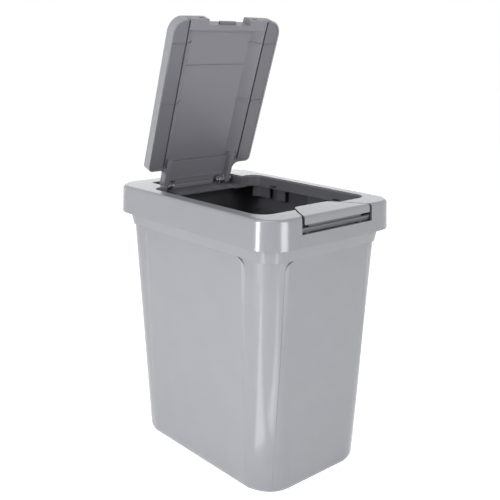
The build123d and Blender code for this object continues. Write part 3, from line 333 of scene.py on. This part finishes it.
def drive_tree():
    """Two crossed bars on every point."""
    tree = bpy.data.node_groups.new("cross_drives", "GeometryNodeTree")
    face = tree.interface
    face.new_socket("Geometry", in_out="INPUT", socket_type="NodeSocketGeometry")
    for name in ("Length", "Width", "Height"):
        face.new_socket(name, in_out="INPUT", socket_type="NodeSocketFloat")
    face.new_socket("Geometry", in_out="OUTPUT", socket_type="NodeSocketGeometry")
    given = add_node(tree, "NodeGroupInput").outputs
    bars = []
    for first, second in (("Length", "Width"), ("Width", "Length")):
        size = add_node(tree, "ShaderNodeCombineXYZ", X=given[first], Y=given[second], Z=given["Height"])
        bars.append(add_node(tree, "GeometryNodeMeshCube", Size=size.outputs[0]).outputs["Mesh"])
    both = add_node(tree, "GeometryNodeMeshBoolean", {"operation": "UNION"})
    for bar in bars:
        tree.links.new(bar, both.inputs["Mesh 2"])
    spread = add_node(tree, "GeometryNodeInstanceOnPoints", Points=given["Geometry"],
                      Instance=both.outputs["Mesh"])
    real = add_node(tree, "GeometryNodeRealizeInstances", Geometry=spread.outputs["Instances"])
    finish = add_node(tree, "GeometryNodeSetMaterial", Geometry=real.outputs["Geometry"],
                      Material=drive_shadow)
    add_node(tree, "NodeGroupOutput", Geometry=finish.outputs["Geometry"])
    return tree


def grown_by_nodes(name, points, tree, **sizes):
    """Points turned into a plain mesh piece by a Geometry Nodes tree."""
    seed = bpy.data.meshes.new(name + "_points")
    seed.from_pydata([tuple(point) for point in points], [], [])
    piece = bpy.data.objects.new(name, seed)
    bpy.context.scene.collection.objects.link(piece)
    grower = piece.modifiers.new("grow", "NODES")
    grower.node_group = tree
    for item in tree.interface.items_tree:
        if item.in_out == "INPUT" and item.name in sizes:
            grower[item.identifier] = sizes[item.name]
    bpy.context.view_layer.update()
    ready = piece.evaluated_get(bpy.context.evaluated_depsgraph_get())
    mesh = bpy.data.meshes.new_from_object(ready)
    piece.modifiers.clear()
    piece.data = mesh
    return piece


drives = grown_by_nodes("screw_drives", heads, drive_tree(), Length=DRIVE_LENGTH,
                        Width=DRIVE_WIDTH, Height=DRIVE_HEIGHT)
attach(drives, "collar")
print("screw drives:", len(drives.data.polygons), "faces")

# %% [markdown]
# ## White ground
# The bin stands on seamless white.  To the camera and in reflections the
# ground is white by itself, so no lamp has to burn it out, and the lit part of
# its shader still takes the soft shadow at the bin's foot.

# %% Ground
GROUND_HALF = 6.0
GROUND_LIT = "#F2F2F2"
GROUND_ROUGHNESS = 0.9
GROUND_GLOW = 0.68          # added for the camera, so that the lit ground is white


def seen_directly(tree):
    """1 for rays from the camera, and for mirror and glass rays."""
    path = add_node(tree, "ShaderNodeLightPath").outputs
    camera_or_mirror = add_node(tree, "ShaderNodeMath", {"operation": "MAXIMUM"},
                                _0=path["Is Camera Ray"], _1=path["Is Glossy Ray"])
    either = add_node(tree, "ShaderNodeMath", {"operation": "MAXIMUM"},
                      _0=camera_or_mirror.outputs[0], _1=path["Is Transmission Ray"])
    return either.outputs[0]


ground_mesh = bpy.data.meshes.new("ground")
ground_mesh.from_pydata([(x * GROUND_HALF, y * GROUND_HALF, 0.0)
                         for x, y in ((-1, -1), (1, -1), (1, 1), (-1, 1))], [], [(0, 1, 2, 3)])
ground = bpy.data.objects.new("ground", ground_mesh)
bpy.context.scene.collection.objects.link(ground)
ground_white, tree, shader, place = new_material("seamless_white")
shader.inputs["Base Color"].default_value = colour(GROUND_LIT)
shader.inputs["Roughness"].default_value = GROUND_ROUGHNESS
shader.inputs["Specular IOR Level"].default_value = 0.0
glow_level = add_node(tree, "ShaderNodeMath", {"operation": "MULTIPLY"}, _0=seen_directly(tree),
                      _1=GROUND_GLOW)
glow = add_node(tree, "ShaderNodeEmission", Color=(1, 1, 1, 1), Strength=glow_level.outputs[0])
both = add_node(tree, "ShaderNodeAddShader", _0=shader.outputs[0], _1=glow.outputs[0])
out = next(n for n in tree.nodes if n.type == "OUTPUT_MATERIAL")
tree.links.new(both.outputs[0], out.inputs["Surface"])
ground_mesh.materials.append(ground_white)

# %% [markdown]
# ## Studio light
# A white room gives the level.  Two tall softboxes stand on the left and in
# front: each one shows as a bright upright bar on the collar's and the body's
# round corners.  A broad one above lifts the top faces, and a low, wide one
# behind the bin lights the open lid's underside.  Two small cards lie on the
# counter beside the bin: their light grazes the walls from below, so the lower
# corners keep their thin bright edge down to the foot.

# %% World and lamps
ROOM_LEVEL = 0.36           # white room, for all but the direct view and reflections

world = bpy.data.worlds.new("white_room")
bpy.context.scene.world = world
world.use_nodes = True
room = world.node_tree
room_background = next(n for n in room.nodes if n.type == "BACKGROUND")
room_background.inputs["Color"].default_value = (1, 1, 1, 1)
level = add_node(room, "ShaderNodeMapRange", Value=seen_directly(room), _3=ROOM_LEVEL, _4=1.0)
room.links.new(level.outputs[0], room_background.inputs["Strength"])


def softbox(name, place, target, width, height, power):
    """A rectangular area lamp, turned towards a point."""
    lamp = bpy.data.lights.new(name, "AREA")
    lamp.shape = "RECTANGLE"
    lamp.size = width
    lamp.size_y = height
    lamp.energy = power
    holder = bpy.data.objects.new(name, lamp)
    bpy.context.scene.collection.objects.link(holder)
    aim = (Vector(target) - Vector(place)).to_track_quat("-Z", "Y")
    holder.matrix_world = Matrix.Translation(place) @ aim.to_matrix().to_4x4()
    return holder


# %% The six lamps
LAMPS = {                   # place, point that it looks at, width, height, watts
    "left_strip": ((-1.1, 0.05, 0.42), (0, 0, 0.25), 0.26, 0.8, 7.0),
    "front_strip": ((0.12, -1.15, 0.42), (0, 0, 0.25), 0.56, 0.8, 5.4),
    "overhead": ((-0.6, -0.1, 1.7), (0, 0, 0.2), 1.2, 1.2, 6.0),
    "backdrop": ((1.1, 1.3, 0.46), (0, 0, 0.31), 2.4, 0.24, 2.6),
    "left_card": ((-0.40, -0.13, 0.004), (-0.40, -0.13, 1.0), 0.5, 0.08, 0.19),
    "front_card": ((-0.15, -0.43, 0.004), (-0.15, -0.43, 1.0), 0.06, 0.45, 0.13),
}
for name, settings in LAMPS.items():
    softbox(name, *settings)
print("lamps:", len(LAMPS))
